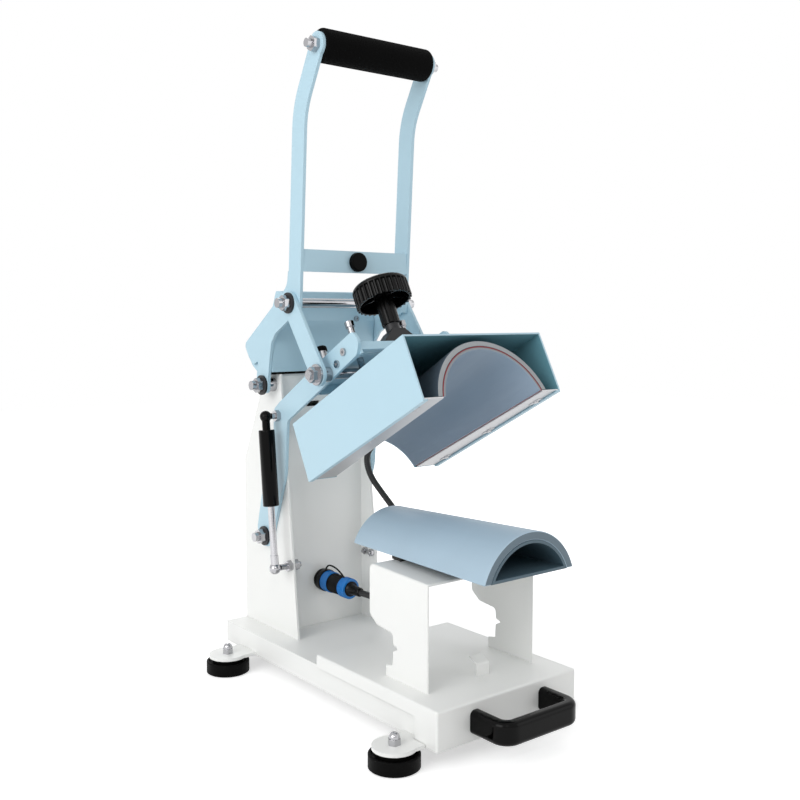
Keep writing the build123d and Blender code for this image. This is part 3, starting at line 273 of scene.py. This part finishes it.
# %% Plastics
black_plastic = finish("moulded_black", seen(5, 5, 5), 0.24, mottle=0.1, grain=600, edge=0.4, gleam=0.2)
gloss_black = finish("glossy_black", seen(3, 3, 3), 0.08, mottle=0.1, grain=500, relief=0.01, edge=0.6,
                     gleam=0.12)
blue_plastic = finish("moulded_blue", seen(20, 118, 196), 0.28, mottle=0.04, grain=600, relief=0.04)
grey_plastic = finish("button_grey", seen(120, 122, 126), 0.5, grain=700, relief=0.06)
fibre_board = finish("fibre_board", seen(38, 36, 34), 0.7, mottle=0.15, grain=300, relief=0.15)
board_green = finish("circuit_board", seen(22, 84, 52), 0.35, grain=150, relief=0.1)
print("plastics", black_plastic.name, gloss_black.name, blue_plastic.name, grey_plastic.name)

# %% [markdown]
# Rubber and foam are dull and nearly black. They mirror little, so their gleam is kept low. The
# foam of the grip has open pores that hold the light, so it gets a strong relief and a little sheen.

# %% Rubber and foam
rubber = finish("foot_rubber", seen(4, 4, 4), 0.5, mottle=0.12, grain=500, relief=0.12, gleam=0.06)
foam = finish("grip_foam_skin", seen(4, 4, 4), 0.8, mottle=0.2, grain=700, relief=0.6, edge=0,
              sheen=0.01, gleam=0.05)
print("soft blacks", rubber.name, foam.name)

# %% [markdown]
# The two curved faces that press the shin guard are smooth silicone in a dusty blue. Under them
# lie a red silicone heater and a mat of needled glass fibre. The mat is matt and a little woolly
# where it is cut. Its other faces get a dark blue-grey that is painted shade in the casing. The cut
# ends of the lower pad are rougher, and their darker blue is painted shade.

# %% Pressing faces
lower_silicone = finish("platen_silicone", seen(166, 189, 205), 0.42, mottle=0.05, grain=900, edge=0)
upper_silicone = finish("heater_silicone", seen(132, 150, 168), 0.42, mottle=0.03, grain=900, edge=0)
# The cut ends of the lower pad are really rougher, but their darker blue is painted shade.
rough_cut_and_shade = finish("rough_cut_and_shade", seen(100, 117, 128), 0.6, mottle=0.05, grain=700, relief=0.12, edge=0)
cut_heater = finish("cut_heater_edge", seen(140, 144, 148), 0.7, mottle=0.08, grain=600, relief=0.2, edge=0)
red_silicone = finish("heating_element", seen(150, 52, 50), 0.5, grain=500, edge=0)
# The dark blue-grey of the mat's faces is painted shade inside the casing; its fibre relief is real.
mat_painted_shade = finish("mat_painted_shade", seen(58, 72, 84), 0.9, mottle=0.15, grain=500, relief=0.4, edge=0)
glass_mat = finish("glass_fibre_mat", seen(160, 164, 167), 0.92, mottle=0.18, grain=650, relief=0.7,
                   edge=0, sheen=0.1)
print("pressing faces", lower_silicone.name, upper_silicone.name, glass_mat.name)

# %% [markdown]
# The window of the controller is tinted and glossy. Its surface is nearly black, with a clear coat.

# %% Window
screen = finish("tinted_window", seen(16, 20, 22), 0.08, mottle=0.02, grain=60, relief=0.0, edge=0.3)
screen.node_tree.nodes["Principled BSDF"].inputs["Coat Weight"].default_value = 0.6
print("window", screen.name)

# %% [markdown]
# Now each solid takes its finish. A solid whose shape is right stays as it is and only its
# material is exchanged.

# %% Finishes on the solids
wears = {
    white_paint: ["base_frame", "foot_ears", "column_shell", "column_back_cover", "drawer_pan",
                  "platen_stand"],
    blue_paint: ["head_cover", "arm_plates", "arm_bridge", "handle_frame", "link_plates"],
    tray_paint_and_shade: ["upper_casing"],
    chrome: ["foot_fasteners", "pivot_shafts", "column_fasteners", "lower_ball_stud",
             "upper_ball_stud", "arm_fasteners", "link_shaft", "guide_pins", "knee_shaft",
             "grip_bolt", "knee_bolts", "strut_rod"],
    bare_steel: ["platen_bolts", "stop_post", "pressure_screw"],
    black_steel: ["frame_washers", "knee_washers", "screw_nut"],
    strip_metal: ["flange_strips", "flange_clips"],
    shell_coat: ["platen_shell"],
    black_plastic: ["heater_socket", "heater_plug", "controller_bezel", "power_inlet", "cable_gland",
                    "drawer_runners", "pressure_knob", "power_rocker"],
    gloss_black: ["drawer_handle", "strut_cylinder"],
    blue_plastic: ["plug_rings"],
    grey_plastic: ["button_down", "button_up", "button_set"],
    rubber: ["rubber_feet", "head_gasket", "stop_cap", "handle_bumper", "heater_cable"],
    foam: ["grip_foam"],
    fibre_board: ["platen_spacers"],
    board_green: ["controller_board"],
    lower_silicone: ["platen_pad"],
    upper_silicone: ["heater_pad"],
    red_silicone: ["heater_element"],
    mat_painted_shade: ["heater_mat"],
    screen: ["display_window"],
}
for material, names in wears.items():
    for name in names:
        node[name].data.materials.clear()
        node[name].data.materials.append(material)
print("finished solids", sum(len(names) for names in wears.values()))

# %% [markdown]
# The solids come as loose triangles. Round walls would show their facets, so each solid is shaded
# smooth wherever its faces meet at less than 30 degrees, and stays crisp at real edges.

# %% Smooth shading
SMOOTH_UP_TO = math.radians(30)


def smooth(piece, up_to=SMOOTH_UP_TO):
    """Shades a piece smooth wherever its faces meet at less than an angle."""
    only(piece)
    bpy.ops.object.shade_smooth_by_angle(angle=up_to)


for piece in node.values():
    smooth(piece)
print("smoothed solids", len(node))

# %% [markdown]
# Round plastic and rubber parts look turned, so they are made as on a lathe. A circle is filled and
# pushed along its axis step by step, and it is widened or narrowed after each push. A step that
# goes nowhere makes a square shoulder.

# %% Turned pieces
TURNED_SIDES = 64


def turned(name, place, towards, steps, material, sides=TURNED_SIDES):
    """A closed round piece. Each step is a distance from the place, and the radius there."""
    start, ahead = at(*place), Vector(towards).normalized()
    along, radius = steps[0]
    bpy.ops.object.select_all(action="DESELECT")
    bpy.ops.mesh.primitive_circle_add(vertices=sides, radius=radius * MM, fill_type="NGON",
                                      location=start + ahead * along * MM,
                                      rotation=ahead.to_track_quat("Z", "Y").to_euler())
    piece = bpy.context.object
    piece.name = name
    only(piece)
    bpy.ops.object.transform_apply(location=True, rotation=True, scale=True)
    bpy.ops.object.mode_set(mode="EDIT")
    bpy.ops.mesh.select_all(action="SELECT")
    for further, wider in steps[1:]:
        push = ahead * (further - along) * MM
        bpy.ops.mesh.extrude_region_move(TRANSFORM_OT_translate={"value": push})
        middle = start + ahead * further * MM
        bpy.ops.transform.resize(value=(wider / radius,) * 3, center_override=middle)
        along, radius = further, wider
    bpy.ops.mesh.select_all(action="SELECT")
    bpy.ops.mesh.normals_make_consistent(inside=False)
    bpy.ops.object.mode_set(mode="OBJECT")
    piece.data.materials.append(material)
    return piece


# %% [markdown]
# Flutes give fingers a hold on a turned piece. Every second face of its side is inset by a thin rim
# and pushed in. The faces are chosen in code, so nothing may be selected beforehand.

# %% Flutes
FLUTE_RIM = 0.15


def unselect_faces(piece):
    """Leaves no face of a piece selected, so that code can choose them."""
    only(piece)
    bpy.ops.object.mode_set(mode="EDIT")
    bpy.ops.mesh.select_all(action="DESELECT")
    bpy.ops.object.mode_set(mode="OBJECT")


def flute(piece, place, low, high, depth, sides):
    """Presses in every second side face between two stations in front of a place."""
    start = at(*place)
    unselect_faces(piece)
    for face in piece.data.polygons:
        off = face.center - start
        side = round(math.atan2(off.z, off.x) / math.tau * sides - 0.5)
        face.select = low * MM < -off.y < high * MM and abs(face.normal.y) < 0.5 and side % 2 == 0
    bpy.ops.object.mode_set(mode="EDIT")
    bpy.ops.mesh.inset(thickness=FLUTE_RIM * MM, depth=-depth * MM, use_individual=True)
    unselect_faces(piece)


# %% [markdown]
# The heater's plug points forward out of the column. It has a black flange, a black fluted grip
# between two blue lock rings, and a soft boot where the cable leaves. A thin moulded strap for its
# dust cap loops over the grip.

# %% Cable plug
PLUG_AT = (-1, 357, 109)
FORWARD = (0, -1, 0)
FLUTED_SIDES = 48
FLANGE_STEPS = [(0, 14.2), (0.8, 15), (7.4, 15), (8.2, 14.2), (8.2, 10.4)]
GRIP_STEPS = [(22.4, 10.4), (22.4, 12.2), (23.2, 13), (46.2, 12.4), (47.2, 11.6), (47.2, 10)]
BOOT_STEPS = [(62.6, 10), (62.6, 8.8), (64, 8.2), (67, 6.6), (82.6, 5.8), (83.8, 5)]
plug = turned("cable_plug", PLUG_AT, FORWARD, FLANGE_STEPS + GRIP_STEPS + BOOT_STEPS, black_plastic,
              FLUTED_SIDES)
flute(plug, PLUG_AT, 24, 46, 0.5, FLUTED_SIDES)


def lock_ring(name, low, high, radius):
    """A blue ring between two stations of the plug, with rounded rims and flutes."""
    rim = 0.8
    steps = [(low, radius - rim), (low + rim, radius), (high - rim, radius), (high, radius - rim)]
    ring = turned(name, PLUG_AT, FORWARD, steps, blue_plastic, FLUTED_SIDES)
    flute(ring, PLUG_AT, low + 1, high - 1, 0.4, FLUTED_SIDES)
    smooth(ring)
    settle(ring, "frame", "blue_plastic", "plug_rings")
    return ring


first_ring = lock_ring("plug_first_ring", 8.6, 22, 14)
second_ring = lock_ring("plug_second_ring", 47.6, 62, 13.5)

# %% [markdown]
# A cord is one smooth spline with a round bevel. Its points are its control points, so the line
# runs inside their corners, as a real cord does. The order is set once the points are there,
# because a spline with fewer points can't hold it.

# %% Cord helpers
def cord_curve(name, route, thick):
    """A round cord along one smooth spline, with the route as its control points."""
    bpy.ops.curve.primitive_nurbs_path_add()
    curve = bpy.context.object
    curve.name = name
    curve.data.splines.clear()
    line = curve.data.splines.new("NURBS")
    line.points.add(len(route) - 1)
    for point, place in zip(line.points, route):
        point.co = (*at(*place), 1)
    line.order_u = 3
    line.use_endpoint_u = True
    line.resolution_u = 12
    curve.location = (0, 0, 0)
    curve.data.bevel_depth = thick / 2 * MM
    curve.data.bevel_resolution = 6
    curve.data.use_fill_caps = True
    return curve


def points_along(name, route):
    """The spline's own line, read as points."""
    bare = cord_curve(name, route, 0)
    bare.data.use_fill_caps = False
    bpy.context.view_layer.update()
    line = bpy.data.meshes.new_from_object(bare)
    places = [v.co.copy() for v in line.vertices]
    bpy.data.objects.remove(bare)
    return places


# %% [markdown]
# The strap is a short curve of the same kind. It is joined to the plug, which it never leaves.

# %% Dust cap strap
STRAP_ROUTE = [(-1, 354, 122.5), (-1, 350, 130), (-3, 334, 132.5), (-4, 316, 129), (-3, 307, 121.5)]
STRAP_THICK = 2.2
strap = cord_curve("cap_strap", STRAP_ROUTE, STRAP_THICK)
only(strap)
bpy.ops.object.convert(target="MESH")
strap = bpy.context.object
strap.data.materials.append(black_plastic)
only(plug)
strap.select_set(True)
bpy.ops.object.join()
smooth(plug)
settle(plug, "frame", "black_plastic", "heater_plug")

# %% [markdown]
# The heater's cable is limp: glass-braided wire in a rubber sleeve, 8 mm thick. It leaves a gland
# in the casing's rear wall, hangs in a curve and enters its plug from the front. The points of its
# bare spline are also read.

# %% Cable
CABLE_THICK = 8.0
CABLE_ROUTE = [(42, 275.4, 311.5), (42, 299.3, 299.1), (36, 312, 280), (37, 305, 255), (47, 291, 232),
               (56, 274, 210), (61, 257, 186), (59, 242, 160), (50, 230, 134), (36, 226, 115),
               (14, 232, 107), (-1, 250, 109), (-1, 273, 109)]
cable_line = points_along("cable_line", CABLE_ROUTE)
cable = cord_curve("cable", CABLE_ROUTE, CABLE_THICK)
only(cable)
bpy.ops.object.convert(target="MESH")
cable = bpy.context.object
sleeve = finish("cable_sleeve", seen(20, 20, 21), 0.55, grain=500, relief=0.25, edge=0)
cable.data.materials.append(sleeve)
smooth(cable)
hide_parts("heater_cable")
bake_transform(cable)

# %% [markdown]
# Each rubber foot is a turned cup. Its rim stands up round a neck that carries the base's ear, so a
# dark groove shows between them. One foot is turned, three copies are moved, and all are joined.

# %% Rubber feet
FOOT_STEPS = [(0, 26.4), (0.9, 27.75), (14.6, 27.75), (15.6, 26.9), (15.6, 24.6), (13.2, 24),
              (13.2, 20.4), (19.2, 20), (19.75, 19.4)]
FOOT_ACROSS = 128.85
FOOT_PLACES = [(-FOOT_ACROSS, 38.5), (FOOT_ACROSS, 62), (-FOOT_ACROSS, 394.5), (FOOT_ACROSS, 394.5)]
UPWARD = (0, 0, 1)
feet = turned("rubber_feet_turned", (*FOOT_PLACES[0], 0), UPWARD, FOOT_STEPS, rubber)
others = []
for across, back in FOOT_PLACES[1:]:
    only(feet)
    bpy.ops.object.duplicate()
    copy = bpy.context.object
    copy.location = at(across, back, 0) - at(*FOOT_PLACES[0], 0)
    others.append(copy)
only(feet)
for copy in others:
    copy.select_set(True)
bpy.ops.object.join()
smooth(feet)
settle(feet, "frame", "black_rubber", "rubber_feet")

# %% [markdown]
# The grip is a foam sleeve pulled over the cross rod. Cut foam has no sharp edge, so a cylinder is
# laid along the rod and the rims of its two end faces are rounded over by a bevel.

# %% Foam grip
GRIP_AT = (243.4, 779.0)
GRIP_THICK = 39.0
GRIP_LONG = 159.0
GRIP_ROUND = 3.2
bpy.ops.mesh.primitive_cylinder_add(vertices=64, radius=GRIP_THICK / 2 * MM, depth=GRIP_LONG * MM,
                                    location=at(0, *GRIP_AT), rotation=(0, math.pi / 2, 0))
grip = bpy.context.object
grip.name = "foam_grip"
grip.data.materials.append(foam)
only(grip)
bpy.ops.object.transform_apply(location=True, rotation=True, scale=True)
unselect_faces(grip)
for face in grip.data.polygons:
    face.select = abs(face.normal.x) > 0.9
bpy.ops.object.mode_set(mode="EDIT")
bpy.ops.mesh.bevel(offset=GRIP_ROUND * MM, segments=4, affect="EDGES")
unselect_faces(grip)
smooth(grip, math.radians(50))
settle(grip, "handle", "black_foam", "grip_foam")

# %% [markdown]
# The pads and the mat are firm sheets, cut to length, so their edges are soft but their faces are
# even. The solid is copied, its loose triangles are merged, and a bevel rounds every edge. The two
# cut ends get a finish of their own, which on the lower pad is darker by painted shade. The copy
# then stands for the solid.

# %% Soft copies
def soft_copy(name, source, radius, body, slot, ends, ahead=FORWARD):
    """A rounded copy that stands for a solid, with another finish on its two end faces."""
    only(node[source])
    bpy.ops.object.duplicate()
    piece = bpy.context.object
    piece.name = name
    piece.parent = None
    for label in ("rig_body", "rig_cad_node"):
        if label in piece:
            del piece[label]
    only(piece)
    bpy.ops.object.mode_set(mode="EDIT")
    bpy.ops.mesh.select_all(action="SELECT")
    bpy.ops.mesh.remove_doubles(threshold=0.01 * MM)
    bpy.ops.mesh.tris_convert_to_quads(face_threshold=math.radians(5), shape_threshold=math.radians(180))
    bpy.ops.mesh.dissolve_limited(angle_limit=math.radians(1))
    bpy.ops.object.mode_set(mode="OBJECT")
    edges = piece.modifiers.new("soft_edges", "BEVEL")
    edges.width = radius * MM
    edges.segments = 4
    edges.limit_method = "ANGLE"
    edges.angle_limit = math.radians(50)
    bpy.ops.object.modifier_apply(modifier="soft_edges")
    piece.data.materials.append(ends)
    for face in piece.data.polygons:
        face.material_index = int(abs(face.normal.dot(Vector(ahead))) > 0.9)
    smooth(piece, math.radians(40))
    settle(piece, body, slot, source)
    return piece


# %% [markdown]
# The lower pad lies on the drawer's platen, the upper one in the tilted casing, so the ends of the
# upper pad and of the mat above it are told by the casing's own direction.

# %% Pads and mat
CASING_AHEAD = CASING_TURN @ Vector(FORWARD)
lower_pad = soft_copy("lower_pad", "platen_pad", 1.6, "drawer", "pad_rubber", rough_cut_and_shade)
upper_pad = soft_copy("upper_pad", "heater_pad", 0.9, "upper_platen", "heater_rubber", cut_heater,
                      CASING_AHEAD)
mat = soft_copy("insulating_mat", "heater_mat", 1.2, "upper_platen", "mat_grey", glass_mat, CASING_AHEAD)

# %% [markdown]
# The machine stands on a wide table. Its top lies a hair below the feet, so that the two surfaces
# don't fight for the same place. It is part of the stage and not of the machine.

# %% Floor
FLOOR_SIZE = 8.0
FLOOR_DROP = 0.0004        # just under the feet
bpy.ops.mesh.primitive_plane_add(size=FLOOR_SIZE, location=(0, 0, -FLOOR_DROP))
floor = bpy.context.object
floor.name = "floor"
print("floor", FLOOR_SIZE, "m wide")

# %% [markdown]
# The table is matt white and keeps the machine's soft shadow. To the camera and in mirrors it also
# glows a little, and more so further away, where the lamps reach it less. So it runs into the white
# room with no horizon, and no more light falls on the machine.

# %% Floor finish
FLOOR_WHITE = (0.86, 0.86, 0.86, 1)
GLOW_NEAR = (0.3, 0.5)     # metres from the middle, and how much the floor glows there
GLOW_FAR = (1.6, 0.9)
floor_finish = bpy.data.materials.new("white_floor")
floor_finish.use_nodes = True
tree = floor_finish.node_tree
tree.nodes.clear()
rays = tree.nodes.new("ShaderNodeLightPath")
seen_by = combine(tree, "MAXIMUM", rays.outputs["Is Camera Ray"], rays.outputs["Is Glossy Ray"])
place = tree.nodes.new("ShaderNodeTexCoord")
away = tree.nodes.new("ShaderNodeVectorMath")
away.operation = "LENGTH"
tree.links.new(place.outputs["Object"], away.inputs[0])
spread = add(tree, "ShaderNodeMapRange", From_Min=GLOW_NEAR[0], From_Max=GLOW_FAR[0],
             To_Min=GLOW_NEAR[1], To_Max=GLOW_FAR[1])
tree.links.new(away.outputs["Value"], spread.inputs["Value"])
glow = tree.nodes.new("ShaderNodeEmission")
tree.links.new(combine(tree, "MULTIPLY", seen_by, spread.outputs["Result"]), glow.inputs["Strength"])
matt = add(tree, "ShaderNodeBsdfDiffuse", Color=FLOOR_WHITE)
both = tree.nodes.new("ShaderNodeAddShader")
tree.links.new(matt.outputs["BSDF"], both.inputs[0])
tree.links.new(glow.outputs["Emission"], both.inputs[1])
out = tree.nodes.new("ShaderNodeOutputMaterial")
tree.links.new(both.outputs["Shader"], out.inputs["Surface"])
floor.data.materials.append(floor_finish)
print("floor finish", len(tree.nodes), "shader nodes")

# %% [markdown]
# The room itself is a plain world colour. To the camera, in mirrors and through glass it is pure
# white. For lighting it is weaker, so that the lamps can still model the shapes.

# %% Room
ROOM_LIGHT = 0.6
world = bpy.data.worlds.new("studio")
bpy.context.scene.world = world
world.use_nodes = True
tree = world.node_tree
tree.nodes.clear()
rays = tree.nodes.new("ShaderNodeLightPath")
direct = combine(tree, "MAXIMUM", rays.outputs["Is Camera Ray"], rays.outputs["Is Transmission Ray"])
direct = combine(tree, "MAXIMUM", direct, rays.outputs["Is Glossy Ray"])
level = add(tree, "ShaderNodeMapRange", To_Min=ROOM_LIGHT, To_Max=1.0)
tree.links.new(direct, level.inputs["Value"])
back = add(tree, "ShaderNodeBackground", Color=(1, 1, 1, 1))
tree.links.new(level.outputs["Result"], back.inputs["Strength"])
out = tree.nodes.new("ShaderNodeOutputWorld")
tree.links.new(back.outputs["Background"], out.inputs["Surface"])
print("room", world.name, ROOM_LIGHT)

# %% [markdown]
# A studio for a product picture is bright and even. A large lamp on the left shapes the machine, a
# weaker one in front on the right opens its shadows, and one behind draws its rims. A small, keen
# lamp gives black plastic its crisp glints.

# %% Lamps
LAMPS_AIM = Vector((0, 0, 0.35))


def lamp(name, place, size, power):
    """A square lamp that faces the middle of the machine."""
    bpy.ops.object.light_add(type="AREA", location=place)
    made = bpy.context.object
    made.name = name
    made.data.energy = power
    made.data.size = size
    made.rotation_euler = (LAMPS_AIM - Vector(place)).to_track_quat("-Z", "Y").to_euler()
    print("lamp", name, power, "W")


lamp("key", (-2.4, -0.4, 1.3), 1.8, 31)
lamp("fill", (1.7, -1.9, 1.1), 1.6, 6)
lamp("rim", (0.6, 1.9, 1.8), 1.2, 10)
lamp("spark", (-1.3, -1.9, 1.9), 0.25, 5)

# %% [markdown]
# The colours should look as they were written, so the view transform is the plain standard one.

# %% View transform
bpy.context.scene.view_settings.view_transform = "Standard"
